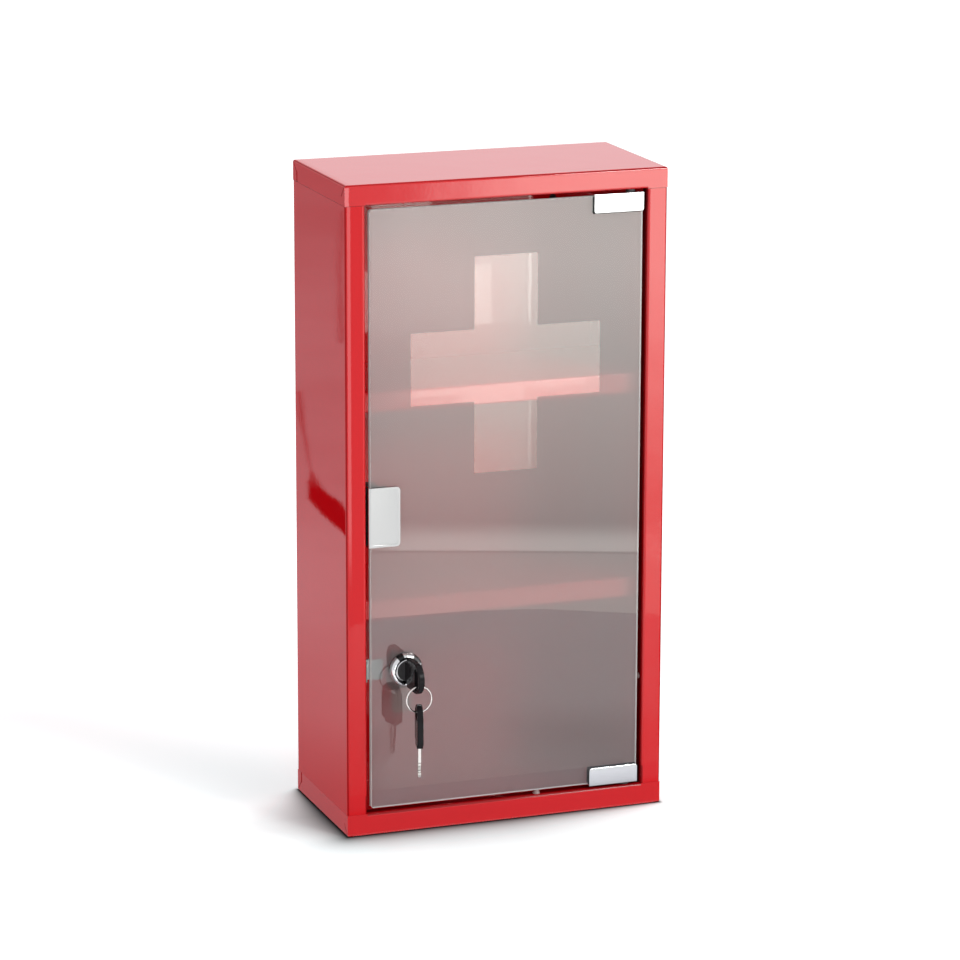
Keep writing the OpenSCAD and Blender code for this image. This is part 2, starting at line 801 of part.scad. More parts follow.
// Chromed housing: stepped bezel, barrel and the plug's bore
module lock_housing() {
    bore = plug_r + run_fit;
    ring = plug_r + 0.85;
    lip = ring + 0.6;
    base = pad_t + 0.6;
    rim = bezel_h - base;
    nose = [for (a = [0 : 10 : 90]) [bezel_r - bezel_crown * (1 - cos(a)), base + rim * sin(a)]];
    color(chrome) on_lock(glass_y) rotate_extrude() polygon(concat(
        [[bore, -barrel_len], [barrel_r - 0.5, -barrel_len], [barrel_r, -barrel_len + 0.5],
         [barrel_r, pad_t], [bezel_r - 0.4, pad_t]],
        nose,
        [[lip, bezel_h - 0.5], [lip, bezel_h - 2], [ring, bezel_h - 2], [ring, bezel_h - 0.8],
         [ring - 0.4, bezel_h - 0.4], [bore + 0.3, bezel_h - 0.4], [bore, bezel_h - 0.7]]
    ));
}

module gasket(y) {
    on_lock(y + pad_t) difference() {
        cylinder(h = pad_t, r = bezel_r - 0.6);
        translate([0, 0, -past]) cylinder(h = pad_t + 2 * past, r = barrel_r + run_fit);
    }
}

module lock_gaskets() {
    color(black) {
        gasket(glass_y - pad_t);
        gasket(glass_back);
    }
}

module lock_nut() {
    color(zinc) on_lock(nut_y + nut_t) difference() {
        cylinder(h = nut_t, r = nut_af / sqrt(3), $fn = 6);
        translate([0, 0, -past]) cylinder(h = nut_t + 2 * past, r = barrel_r + run_fit);
    }
}

// Plug with its keyway in front and the cam's square drive behind
module lock_plug() {
    len = hub_y - plug_y;
    blade_end = bow_y + blade_len + keyway_gap - plug_y;
    color("#4b4c50") on_lock(plug_y) difference() {
        union() {
            translate([0, 0, -len]) cylinder(h = len - 0.4, r = plug_r);
            translate([0, 0, -0.4]) cylinder(h = 0.4, r1 = plug_r, r2 = plug_r - 0.4);
            translate([0, 0, -len - drive_len / 2]) cube([drive_w, drive_w, drive_len], center = true);
        }
        translate([-keyway_w / 2, -keyway_h / 2, -blade_end]) cube([keyway_w, keyway_h, blade_end + past]);
        translate([0, 0, -0.9]) cylinder(h = 0.9 + past / 10, r1 = keyway_w / 2, r2 = keyway_w / 2 + 1);
        translate([0, 0, -len - cam_t]) cylinder(h = screw_len + slide_gap, r = cam_screw_r + run_fit);
    }
}

// Cranked cam, hanging down from the plug; a quarter turn brings it behind the lip
module lock_cam() {
    color(zinc) translate([lock_x, 0, lock_z]) difference() {
        union() {
            intersection() {
                along_x(-cam_w / 2, cam_w / 2) folded_strip([
                    [hub_y + cam_t / 2, 0],
                    [hub_y + cam_t / 2, -crank_r],
                    [tip_y + cam_t / 2, -crank_r],
                    [tip_y + cam_t / 2, -cam_len]
                ], cam_t, cam_t + 0.8);
                along_y(tip_y, hub_y + cam_t) translate([-cam_w / 2, -cam_len])
                    round_rect(cam_w, cam_len + cam_w, cam_corner_r);
            }
            along_y(hub_y, hub_y + cam_t) circle(cam_w / 2 + 1);
        }
        translate([0, hub_y + cam_t / 2, 0])
            cube([drive_w + 2 * run_fit, cam_t + 2 * past, drive_w + 2 * run_fit], center = true);
    }
}

module cam_screw() {
    color(zinc) on_lock(hub_y + cam_t) difference() {
        union() {
            translate([0, 0, -screw_head_h]) cylinder(h = screw_head_h, r = screw_head_r);
            cylinder(h = screw_len, r = cam_screw_r);
        }
        for (a = [0, 90]) rotate(a) translate([0, 0, -screw_head_h])
            cube([screw_cross_w, screw_cross_t, screw_head_h], center = true);
    }
}

// Plated angle on the lip that the cam turns behind
module lock_keeper() {
    t = keeper_t;
    color(zinc) difference() {
        along_z(keeper_z, keeper_z + cam_w) folded_strip([
            [lip_x + t / 2, rivet_y - 3],
            [lip_x + t / 2, keeper_back - t / 2],
            [lip_x + keeper_w, keeper_back - t / 2]
        ], t, t + 0.6);
        at_rivets() rivet_hole();
    }
}

// Places at the keeper's two rivets, the keeper's face at local z = 0
module at_rivets() {
    for (z = [0.25, 0.75]) translate([lip_x + keeper_t, rivet_y, keeper_z + z * cam_w]) rotate([0, 90, 0]) children();
}

module rivet_hole() {
    translate([0, 0, -keeper_t - sheet_t - past]) cylinder(h = keeper_t + sheet_t + 2 * past, r = rivet_r);
}

module keeper_rivets() {
    grip = keeper_t + sheet_t;
    color(zinc) at_rivets() {
        cylinder(h = rivet_head_h, r = rivet_head_r);
        translate([0, 0, -grip]) cylinder(h = grip, r = rivet_r);
        translate([0, 0, -grip - rivet_head_h]) cylinder(h = rivet_head_h, r = rivet_head_r);
    }
}

// ---- Keys ----------------------------------------------------------------------------------
// A key stands in X and Z with its blade down, and its bow's shoulder at z = 0

module bow_outline(inset) {
    translate([0, bow_arch]) circle(bow_w / 2 - inset);
    translate([-bow_w / 2 + inset, bow_collar_h + inset])
        square([bow_w - 2 * inset, bow_arch - bow_collar_h - inset]);
}

module slot_outline(grow) {
    r = bow_slot / 2 + grow;
    for (s = [-1, 1]) translate([s * (slot_half - bow_slot / 2), slot_mid]) circle(r);
    translate([-slot_half + bow_slot / 2, slot_mid - r]) square([2 * slot_half - bow_slot, 2 * r]);
}

module key_bow_form() {
    flat = bow_t / 2 - bow_chamfer;
    difference() {
        union() {
            hull() {
                along_y(-flat, flat) bow_outline(0, $fn = 64);
                along_y(-bow_t / 2, bow_t / 2) bow_outline(bow_chamfer, $fn = 64);
            }
            along_y(-bow_t / 2, bow_t / 2) translate([-bow_collar_w / 2, 0])
                square([bow_collar_w, bow_collar_h + 2 * bow_chamfer]);
        }
        along_y(-bow_t, bow_t) slot_outline(0);
        for (s = [0, 1]) mirror([0, s, 0]) along_y(bow_t / 2 - bow_recess, bow_t) slot_outline(1.6);
        along_y(-blade_t / 2 - tang_gap, blade_t / 2 + tang_gap)
            translate([-tang_w / 2 - tang_gap, -past]) square([tang_w + 2 * tang_gap, tang_len + tang_gap + past]);
    }
}

// Blade with cuts in both edges and a guide groove on each face
module key_blade_form() {
    groove = 0.4;
    difference() {
        along_y(-blade_t / 2, blade_t / 2) difference() {
            union() {
                translate([-tang_w / 2, 0]) square([tang_w, tang_len]);
                translate([-blade_w / 2, -blade_len * 0.48]) square([blade_w, blade_len * 0.48]);
                translate([-bitted_w / 2, -blade_len + 1.5]) square([bitted_w, blade_len - 1.5]);
                polygon([[-bitted_w / 2, -blade_len + 1.5], [-1, -blade_len], [1, -blade_len], [bitted_w / 2, -blade_len + 1.5]]);
            }
            for (i = [0 : len(bit_depths) - 1], s = [-1, 1])
                translate([s * (bitted_w / 2 + 1.4 - bit_depths[i]), -blade_len + 2 + (i + (s + 1) / 8) * bit_pitch])
                    rotate(45) square(2, center = true);
        }
        for (s = [0, 1]) mirror([0, s, 0])
            block([-0.6, blade_t / 2 - groove, -blade_len - past], [0.6, blade_t, -2]);
    }
}

// Places the key in the lock, its bow's plane upright
module in_lock() {
    translate([lock_x, bow_y, lock_z]) rotate([90, 0, 0]) rotate([0, 0, 90]) children();
}

// Places the key that hangs on the ring
module on_ring() {
    translate([lock_x, ring_y, spare_z]) rotate([0, 0, 90 - spare_turn]) children();
}

module key_blade() {
    color(zinc) in_lock() key_blade_form();
}

module key_bow() {
    color(black) in_lock() key_bow_form();
}

module key_ring() {
    color(chrome) translate([lock_x, ring_y, ring_z]) rotate([90, 0, 0])
        rotate_extrude() translate([ring_r, 0]) circle(wire_r);
}

module spare_key_blade() {
    color(zinc) on_ring() key_blade_form();
}

module spare_key_bow() {
    color(black) on_ring() key_bow_form();
}

top_cap();
bottom_tray();
left_side();
right_side();
back_panel();
upper_shelf();
lower_shelf();
pivot_bush_top();
pivot_bush_bottom();
catch_housing();
catch_magnet();
catch_poles();
lock_keeper();
keeper_rivets();
edge_buffers();
door_glass();
hinge_clip_top();
hinge_clip_bottom();
hinge_pads();
clamp_screws();
pivot_pin_top();
pivot_pin_bottom();
handle_clip();
handle_liner();
lock_housing();
lock_gaskets();
lock_nut();
lock_plug();
lock_cam();
cam_screw();
key_blade();
key_bow();
key_ring();
spare_key_blade();
spare_key_bow();
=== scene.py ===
"""Materials, studio and camera for the medicine cabinet; the pieces come from the CAD frame."""
import math

import bpy
from mathutils import Matrix, Vector


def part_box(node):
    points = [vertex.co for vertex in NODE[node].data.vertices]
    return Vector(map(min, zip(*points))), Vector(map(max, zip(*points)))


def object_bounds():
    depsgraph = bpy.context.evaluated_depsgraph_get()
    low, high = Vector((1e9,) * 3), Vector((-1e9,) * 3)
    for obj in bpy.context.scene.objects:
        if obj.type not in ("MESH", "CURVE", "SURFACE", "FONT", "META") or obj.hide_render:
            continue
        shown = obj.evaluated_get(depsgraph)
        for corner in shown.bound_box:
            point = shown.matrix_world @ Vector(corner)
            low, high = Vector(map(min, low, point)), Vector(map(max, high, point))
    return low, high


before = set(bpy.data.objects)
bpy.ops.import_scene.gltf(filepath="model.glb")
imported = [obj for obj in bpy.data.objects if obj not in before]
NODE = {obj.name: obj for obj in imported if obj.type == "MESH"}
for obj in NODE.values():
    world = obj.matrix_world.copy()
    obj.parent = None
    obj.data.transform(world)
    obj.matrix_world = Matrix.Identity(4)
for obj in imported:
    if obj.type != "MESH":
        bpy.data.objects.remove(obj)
cad_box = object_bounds()
MM = 0.001
LIP = 6 * MM                # from the glass's edge to beyond the lip round it
LIP_DEPTH = (14.0, 17.0)    # how far the lip goes in, in mm: the gap's painted shade ends between these
HALF_WIDTH = 0.12           # about half the carcase, over which the panels bow
ROLL = 6.5                  # width of the rolled zone beside the left front fold, in mm
ROLL_LEAN = 8.0             # its lean at the fold, in degrees
BELOW_DOOR = 30 * MM        # only the bottom fold and the bottom buffer are lower than this in their materials
RIGHT_OF_LOCK = 30 * MM     # only the right and the bottom buffer are further right than this


# ---------------------------------------------------------------- node helpers
class Tree:
    """A node tree with short calls for the nodes used here."""

    def __init__(self, tree):
        self.t = tree
        self.t.nodes.clear()

    def new(self, kind, **props):
        n = self.t.nodes.new(kind)
        for k, v in props.items():
            setattr(n, k, v)
        return n

    def put(self, socket, value):
        if isinstance(value, bpy.types.NodeSocket):
            self.t.links.new(value, socket)
        elif isinstance(value, (tuple, list)) and len(value) == 3 and socket.type == "RGBA":
            socket.default_value = (*value, 1)
        else:
            socket.default_value = value

    def math(self, op, a, b=0.0, c=0.0, clamp=False):
        n = self.new("ShaderNodeMath", operation=op, use_clamp=clamp)
        for i, v in enumerate((a, b, c)):
            self.put(n.inputs[i], v)
        return n.outputs[0]

    def ramp(self, value, lo, hi, a=0.0, b=1.0, smooth=True):
        n = self.new("ShaderNodeMapRange", interpolation_type="SMOOTHSTEP" if smooth else "LINEAR")
        for i, v in enumerate((value, lo, hi, a, b)):
            self.put(n.inputs[i], v)
        return n.outputs[0]

    def mix(self, fac, a, b, blend="MIX"):
        n = self.new("ShaderNodeMix", data_type="RGBA", blend_type=blend)
        self.put(n.inputs[0], fac)
        self.put(n.inputs[6], a)
        self.put(n.inputs[7], b)
        return n.outputs[2]

    def noise(self, vector, scale, detail=2.0, rough=0.5):
        n = self.new("ShaderNodeTexNoise")
        self.put(n.inputs["Vector"], vector)
        n.inputs["Scale"].default_value = scale
        n.inputs["Detail"].default_value = detail
        n.inputs["Roughness"].default_value = rough
        return n.outputs["Fac"]

    def coords(self, scale=(1, 1, 1)):
        c = self.new("ShaderNodeTexCoord").outputs["Object"]
        if tuple(scale) == (1, 1, 1):
            return c
        m = self.new("ShaderNodeMapping")
        m.inputs["Scale"].default_value = scale
        self.put(m.inputs["Vector"], c)
        return m.outputs[0]

    def xyz(self, vector):
        n = self.new("ShaderNodeSeparateXYZ")
        self.put(n.inputs[0], vector)
        return n.outputs

    def bump(self, height, strength, distance, normal=None):
        n = self.new("ShaderNodeBump")
        n.inputs["Strength"].default_value = strength
        n.inputs["Distance"].default_value = distance
        self.put(n.inputs["Height"], height)
        if normal is not None:
            self.put(n.inputs["Normal"], normal)
        return n.outputs[0]

    def principled(self, **values):
        n = self.new("ShaderNodeBsdfPrincipled")
        for k, v in values.items():
            self.put(n.inputs[k.replace("_", " ")], v)
        return n.outputs[0]

    def mixed(self, fac, a, b):
        n = self.new("ShaderNodeMixShader")
        self.put(n.inputs[0], fac)
        self.put(n.inputs[1], a)
        self.put(n.inputs[2], b)
        return n.outputs[0]

    def surface(self, shader, kind="ShaderNodeOutputMaterial"):
        self.put(self.new(kind).inputs["Surface"], shader)


def material(name, view=(0.8, 0.8, 0.8)):
    m = bpy.data.materials.new(name)
    m.use_nodes = True
    m.diffuse_color = (*view, 1)
    return m, Tree(m.node_tree)


def wear(t, amount=0.6):
    """Mask of worn edges, from the geometry's pointiness broken up by noise."""
    p = t.new("ShaderNodeNewGeometry").outputs["Pointiness"]
    n = t.noise(t.coords(), 260, 3)
    return t.math("MULTIPLY", t.ramp(t.math("ADD", p, t.math("MULTIPLY", n, 0.05)), 0.545, 0.6), amount)


# ---------------------------------------------------------------- materials
def shaded_paint(t, c):
    """Painted shade on the outer folds, in the door's gap and on the bottom fold's bend, a dark line at the roof's
    seam, and how dull the paint is there.
    """
    def outside(value, centre, half, soft):
        d = t.math("SUBTRACT", t.math("ABSOLUTE", t.math("SUBTRACT", value, centre)), half)
        return t.ramp(d, -soft, soft)

    x, y, z = t.xyz(c)
    # folds: where the face looks along no axis; the outer ones get painted shade
    nx, ny, nz = t.xyz(t.new("ShaderNodeNewGeometry").outputs["True Normal"])
    square = t.math("MAXIMUM", t.math("MAXIMUM", t.math("ABSOLUTE", nx), t.math("ABSOLUTE", ny)),
                    t.math("ABSOLUTE", nz))
    outer = t.ramp(rim_distance(t, x, z), 3 * MM, 5 * MM, 1.0, 0.0)
    fold = t.math("MULTIPLY", t.ramp(square, 0.80, 0.97, 1.0, 0.0), outer)
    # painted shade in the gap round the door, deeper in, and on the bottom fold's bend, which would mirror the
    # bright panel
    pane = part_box("door_glass")
    mid, half_z = (pane[0].z + pane[1].z) / 2, (pane[1].z - pane[0].z) / 2
    far = t.math("MAXIMUM", outside(x, 0.0, pane[1].x + LIP, 0.5 * MM), outside(z, mid, half_z + LIP, 0.5 * MM))
    into = t.math("DIVIDE", t.math("SUBTRACT", y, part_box("top_cap")[0].y), MM)
    depth = t.math("MULTIPLY", t.ramp(into, 0.5, 5.0, smooth=False), t.ramp(into, *LIP_DEPTH, 1.0, 0.0))
    gap = t.math("MULTIPLY", depth, t.math("SUBTRACT", 1.0, far))
    below = t.math("MULTIPLY", t.ramp(square, 0.96, 0.998, 1.0, 0.0), t.math("LESS_THAN", z, BELOW_DOOR))
    below = t.math("MULTIPLY", below, t.math("SUBTRACT", 1.0, far))
    gap = t.math("MAXIMUM", gap, t.math("MULTIPLY", below, 0.6))
    to_seam = t.math("ABSOLUTE", t.math("SUBTRACT", z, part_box("top_cap")[0].z))
    seam = t.ramp(to_seam, 0.1 * MM, 0.5 * MM, 0.25, 0.0)
    # painted shade on the outer folds, a little deeper towards the right
    fold_painted_shade = t.math("MULTIPLY", fold, t.ramp(x, -0.1, 0.1, 0.4, 0.55))
    dark = t.math("MAXIMUM", t.math("MAXIMUM", fold_painted_shade, t.math("MULTIPLY", gap, 0.85)), seam)
    return dark, t.math("MAXIMUM", t.math("MULTIPLY", fold, 0.7), t.math("MULTIPLY", gap, 0.8))


def rim_distance(t, x, z):
    """Distance from the cabinet's outer rim, as seen from the front."""
    rim = t.math("SUBTRACT", cad_box[1].x, t.math("ABSOLUTE", x))
    return t.math("MINIMUM", rim, t.math("SUBTRACT", cad_box[1].z, z))


def rolled(t, c):
    """Height in mm of the sheet beside its left front fold, where bending has rounded it."""
    to_fold = t.math("DIVIDE", t.math("SUBTRACT", t.xyz(c)[0], cad_box[0].x), MM)
    near = t.math("MAXIMUM", t.math("SUBTRACT", ROLL, to_fold), 0.0)
    return t.math("MULTIPLY", t.math("MULTIPLY", near, near), -math.tan(math.radians(ROLL_LEAN)) / 2 / ROLL)


def paint(name, ior=1.7, lean=0.0, bow=0.0, wave=1.0, peel=1.0, low=1.0, low_top=0.16, flank=1.0, red=0.525):
    """Glossy signal-red powder coat, as much red as said.

    It has orange peel and the slow waviness of thin folded sheet. The sheet leans by some degrees towards its left
    edge, and bows by more of them there. Its gloss is low near the floor and full above low_top, and scaled by flank
    on faces that look left.
    """
    m, t = material(name, (0.6, 0.02, 0.03))
    c = t.coords()
    x, _, z = t.xyz(c)
    n = t.bump(t.noise(c, 22, 2, 0.45), 0.3 * wave, 0.0010)
    n = t.bump(t.noise(c, 420, 2, 0.55), 0.30 * peel, 0.00010, n)
    left = t.math("MINIMUM", x, 0.0)
    curve = t.math("MULTIPLY", t.math("MULTIPLY", left, left), -math.radians(bow) / 2 / HALF_WIDTH / MM)
    curve = t.math("ADD", curve, rolled(t, c))
    n = t.bump(t.math("ADD", curve, t.math("MULTIPLY", x, math.radians(lean) / MM)), 1.0, MM, n)
    tone = t.noise(c, 9, 3)
    colour = t.mix(tone, (red, 0.003, 0.006), (1.06 * red, 0.004, 0.008))
    # the colour is darkened towards black by painted shade on the folds and in the door's gap, and by the roof
    # seam's dark line
    dark, dull = shaded_paint(t, c)
    colour = t.mix(dark, colour, (0.0, 0.0, 0.0))
    rough = t.ramp(t.noise(c, 60, 3), 0.3, 0.7, 0.40, 0.48)
    gloss = t.math("MULTIPLY", t.ramp(z, 0.0, low_top, low, 1.0), t.math("SUBTRACT", 1.0, dull))
    if flank < 1.0:
        nx = t.xyz(t.new("ShaderNodeNewGeometry").outputs["True Normal"])[0]
        gloss = t.math("MULTIPLY", gloss, t.ramp(nx, -0.9, -0.7, flank, 1.0))
    t.surface(t.principled(Base_Color=colour, Roughness=rough, Specular_IOR_Level=0.0, Coat_Weight=gloss,
                           Coat_Roughness=0.02, Coat_IOR=ior, Normal=n, Coat_Normal=n))
    return m


def metal(name, colour, rough=0.25, grain=(1, 1, 1), scale=900, depth=0.2, dirt=0.1, worn=0.0, nod=0.0,
          painted_gap_shade=0.0):
    """Plated metal: fine grain along one axis, a little uneven in tone.

    It nods forward by some degrees, and has painted shade where it stands in front of the glass's back, in the
    door's gap.
    """
    m, t = material(name, colour)
    g = t.noise(t.coords(grain), scale, 3)
    slow = t.noise(t.coords(), 40, 2)
    base = t.mix(t.math("MULTIPLY", slow, dirt * 2), colour, tuple(0.8 * v for v in colour))
    if worn:
        base = t.mix(wear(t, worn), base, tuple(min(1, 1.25 * v) for v in colour))
    if painted_gap_shade:
        # painted shade: nearly black where the piece stands in front of the glass's back
        y = t.xyz(t.coords())[1]
        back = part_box("door_glass")[1].y
        base = t.mix(t.ramp(y, back - 1.0 * MM, back, painted_gap_shade, 0.0), base, (0.02, 0.02, 0.015))
    r = t.math("ADD", t.math("MULTIPLY", t.math("SUBTRACT", g, 0.5), 0.25), rough, clamp=True)
    n = t.bump(g, depth, 0.00003)
    if nod:
        n = t.bump(t.math("MULTIPLY", t.xyz(t.coords())[2], math.tan(math.radians(nod)) / MM), 1.0, MM, n)
    t.surface(t.principled(Base_Color=base, Metallic=1.0, Roughness=r, Normal=n))
    return m


def from_plug(t):
    """Offsets and distance from the lock plug's axis, and the plug's radius."""
    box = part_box("lock_plug")
    x, _, z = t.xyz(t.coords())
    dx = t.math("SUBTRACT", x, (box[0].x + box[1].x) / 2)
    dz = t.math("SUBTRACT", z, (box[0].z + box[1].z) / 2)
    r = t.math("SQRT", t.math("ADD", t.math("MULTIPLY", dx, dx), t.math("MULTIPLY", dz, dz)))
    return dx, dz, r, (box[1].x - box[0].x) / 2


def bezel(name):
    """Polished chrome; its rim has a painted reflection, a black and a grey stretch of a dark room, which stays in
    place from every side.
    """
    m, t = material(name, (0.8, 0.8, 0.8))
    dx, dz, r, plug_r = from_plug(t)
    turn = t.math("DEGREES", t.math("ARCTAN2", dz, dx))
    rim = t.ramp(r, plug_r + 0.8 * MM, plug_r + 1.0 * MM)

    def stretch(centre, half, level):
        """Part of the rim, by the angle of its centre and its half width in degrees, darkened by level as a painted
        reflection.
        """
        off = t.math("SUBTRACT", t.math("ABSOLUTE", t.math("SUBTRACT", turn, centre)), half)
        return t.math("MULTIPLY", t.ramp(off, -1.0, 1.0, level, 0.0), rim)

    shade = t.math("MAXIMUM", stretch(116.0, 12.0, 0.96), stretch(44.0, 19.0, 0.8))
    t.surface(t.principled(Base_Color=t.mix(shade, (0.88, 0.89, 0.90), (0.01, 0.01, 0.01)), Metallic=1.0,
                           Roughness=0.08, Normal=t.bump(t.noise(t.coords(), 800, 3), 0.04, 0.00003)))
    return m


def plug(name):
    """Turned plug with a dark face."""
    m, t = material(name, (0.2, 0.2, 0.2))
    _, _, r, _ = from_plug(t)
    rings = t.new("ShaderNodeMath", operation="SINE")
    t.put(rings.inputs[0], t.math("MULTIPLY", r, 9000.0))
    n = t.bump(t.math("ADD", rings.outputs[0], t.noise(t.coords(), 900, 2)), 0.12, 0.00003)
    tone = t.mix(t.noise(t.coords(), 700, 2), (0.045, 0.043, 0.045), (0.065, 0.063, 0.065))
    t.surface(t.principled(Base_Color=tone, Metallic=0.35, Roughness=0.42, Normal=n))
    return m


def plastic(name, colour, rough=0.35, scale=700, depth=0.15, worn=0.3, coat=0.0, shine=0.4, low=None):
    """Moulded plastic, a little uneven; low down and to the right it may have painted shade, the darker colour low.
    """
    m, t = material(name, colour)
    g = t.noise(t.coords(), scale, 3)
    slow = t.noise(t.coords(), 55, 3)
    base = t.mix(t.ramp(slow, 0.35, 0.7), colour, tuple(min(1, 1.25 * v + 0.004) for v in colour))
    if worn:
        base = t.mix(wear(t, worn), base, tuple(min(1, 1.8 * v + 0.03) for v in colour))
    if low:
        x, _, z = t.xyz(t.coords())
        painted_shade_zone = t.math("MAXIMUM", t.math("LESS_THAN", z, BELOW_DOOR), t.math("GREATER_THAN", x, RIGHT_OF_LOCK))
        base = t.mix(painted_shade_zone, base, low)
    r = t.ramp(slow, 0.3, 0.7, rough - 0.06, rough + 0.06)
    t.surface(t.principled(Base_Color=base, Roughness=r, Coat_Weight=coat, Coat_Roughness=0.1,
                           Specular_IOR_Level=shine, Normal=t.bump(g, depth, 0.00005)))
    return m


def door_glass(name):
    """Toughened glass: polished front, sand-blasted back with a clear cross, ground edges. Lamps shine through."""
    m, t = material(name, (0.7, 0.65, 0.65))
    c = t.coords()
    x, y, z = t.xyz(c)
    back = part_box("door_glass")[1].y - 0.15 * MM
    on_back = t.math("LESS_THAN", t.math("ABSOLUTE", t.math("SUBTRACT", y, back)), 0.05 * MM)
    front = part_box("door_glass")[0].y
    on_front = t.math("LESS_THAN", y, front + 0.02 * MM)
    cross = t.math("GREATER_THAN", y, back + 0.1 * MM)
    flat = t.math("MAXIMUM", t.math("MAXIMUM", on_back, on_front), cross)
    edge = t.math("SUBTRACT", 1.0, flat)
    grit = t.noise(c, 2600, 2)
    # clear glass
    clear = t.new("ShaderNodeBsdfGlass")
    t.put(clear.inputs["Color"], (0.97, 0.985, 0.98))
    clear.inputs["Roughness"].default_value = 0.0
    clear.inputs["IOR"].default_value = 1.8
    # blasted: rough refraction with some white scatter in the skin
    rough = t.new("ShaderNodeBsdfRefraction")
    t.put(rough.inputs["Color"], (0.68, 0.68, 0.68))
    rough.inputs["Roughness"].default_value = 0.29
    rough.inputs["IOR"].default_value = 1.8
    dif = t.new("ShaderNodeBsdfDiffuse")
    # the skin's scatter is lighter low down: painted light that brightens the lower pane
    t.put(dif.inputs["Color"], t.mix(t.ramp(z, 0.16, 0.36), (0.58, 0.545, 0.545), (0.46, 0.45, 0.45)))
    tra = t.new("ShaderNodeBsdfTranslucent")
    t.put(tra.inputs["Color"], (0.46, 0.45, 0.45))
    skin = t.mixed(0.6, tra.outputs[0], dif.outputs[0])
    blasted = t.mixed(t.ramp(grit, 0.3, 0.7, 0.305, 0.34), rough.outputs[0], skin)
    # ground edge: greenish white, with a faint painted glow for light carried along inside the glass
    ground = t.principled(Base_Color=(0.58, 0.60, 0.58), Roughness=0.35, Transmission_Weight=0.35, IOR=1.5,
                          Emission_Color=(1.0, 1.0, 0.98), Emission_Strength=0.09,
                          Normal=t.bump(grit, 0.3, 0.00002))
    s = t.mixed(on_back, clear.outputs[0], blasted)
    s = t.mixed(edge, s, ground)
    lamp = t.new("ShaderNodeBsdfTransparent")
    t.put(lamp.inputs["Color"], t.mix(on_back, (0.84, 0.845, 0.855), (0.69, 0.68, 0.68)))
    path = t.new("ShaderNodeLightPath").outputs
    lit = t.math("MAXIMUM", path["Is Shadow Ray"], path["Is Diffuse Ray"])
    t.surface(t.mixed(lit, s, lamp.outputs[0]))
    return m


MAT = {
    "carcase": paint("carcase_paint", lean=0.9, bow=1.0, wave=0.4, peel=0.5, flank=0.75),
    "left": paint("left_panel_paint", ior=1.5, lean=1.0, bow=2.0, wave=0.08, peel=0.15, low=0.6),
    "right": paint("right_panel_paint", ior=1.65, wave=0.5, peel=0.4, low=0.62, low_top=0.42),
    "shelf": paint("shelf_paint", wave=0.6, peel=0.6, red=0.60),
    "glass": door_glass("door_glass"),
    "clip": metal("satin_chrome", (0.86, 0.89, 0.905), 0.2, (1, 1, 1), 1200, 0.1),
    "handle": metal("handle_chrome", (0.56, 0.57, 0.565), 0.2, (1, 1, 0.12), 1500, 0.12, nod=7.0),
    "lock": bezel("lock_chrome"),
    "plug": plug("plug_metal"),
    "cam": metal("bronzed_steel", (0.36, 0.13, 0.10), 0.45, scale=500, dirt=0.3),
    "zinc": metal("zinc_plate", (0.62, 0.66, 0.64), 0.32, scale=500, depth=0.25, dirt=0.35),
    # the keeper has painted shade in the door's gap
    "keeper": metal("keeper_zinc", (0.60, 0.64, 0.62), 0.32, scale=500, depth=0.25, dirt=0.35, painted_gap_shade=0.75),
    "steel": metal("plain_steel", (0.62, 0.63, 0.64), 0.28, scale=900, dirt=0.2, worn=0.4),
    "key": metal("key_nickel", (0.74, 0.73, 0.70), 0.24, (1, 1, 0.1), 1400, 0.3, 0.15, 0.5),
    "ring": metal("ring_nickel", (0.85, 0.83, 0.80), 0.12, scale=900, depth=0.05),
    "bow": plastic("key_plastic", (0.005, 0.004, 0.005), 0.2, 900, 0.08, 0.1, shine=0.14),
    "black": plastic("black_plastic", (0.02, 0.02, 0.022), 0.5, 800, 0.25, 0.3),
    "ferrite": plastic("ferrite", (0.06, 0.06, 0.065), 0.6, 1500, 0.6, 0.4),
    "bush": plastic("bush_nylon", (0.05, 0.05, 0.05), 0.4, 600, 0.1, 0.2),
    # the right and the bottom buffer get painted shade, the darker colour low
    "buffer": plastic("buffer_nylon", (0.86, 0.83, 0.82), 0.3, 600, 0.05, 0.0, 0.3, low=(0.26, 0.17, 0.16)),
}
FINISH = {
    "carcase": ["top_cap", "bottom_tray"],
    "right": ["right_side", "back_panel"],
    "left": ["left_side"],
    "shelf": ["upper_shelf", "lower_shelf"],
    "glass": ["door_glass"],
    "clip": ["hinge_clip_top", "hinge_clip_bottom"],
    "handle": ["handle_clip"],
    "lock": ["lock_housing"],
    "plug": ["lock_plug"],
    "zinc": ["keeper_rivets", "catch_poles"],
    "keeper": ["lock_keeper"],
    "cam": ["lock_cam", "lock_nut", "cam_screw"],
    "steel": ["clamp_screws", "pivot_pin_top", "pivot_pin_bottom"],
    "key": ["key_blade", "spare_key_blade"],
    "ring": ["key_ring"],
    "bow": ["key_bow", "spare_key_bow"],
    "black": ["catch_housing", "hinge_pads", "handle_liner", "lock_gaskets"],
    "ferrite": ["catch_magnet"],
    "bush": ["pivot_bush_top", "pivot_bush_bottom"],
    "buffer": ["edge_buffers"],
}
for kind, names in FINISH.items():
    for name in names:
        for slot in NODE[name].material_slots:
            slot.material = MAT[kind]


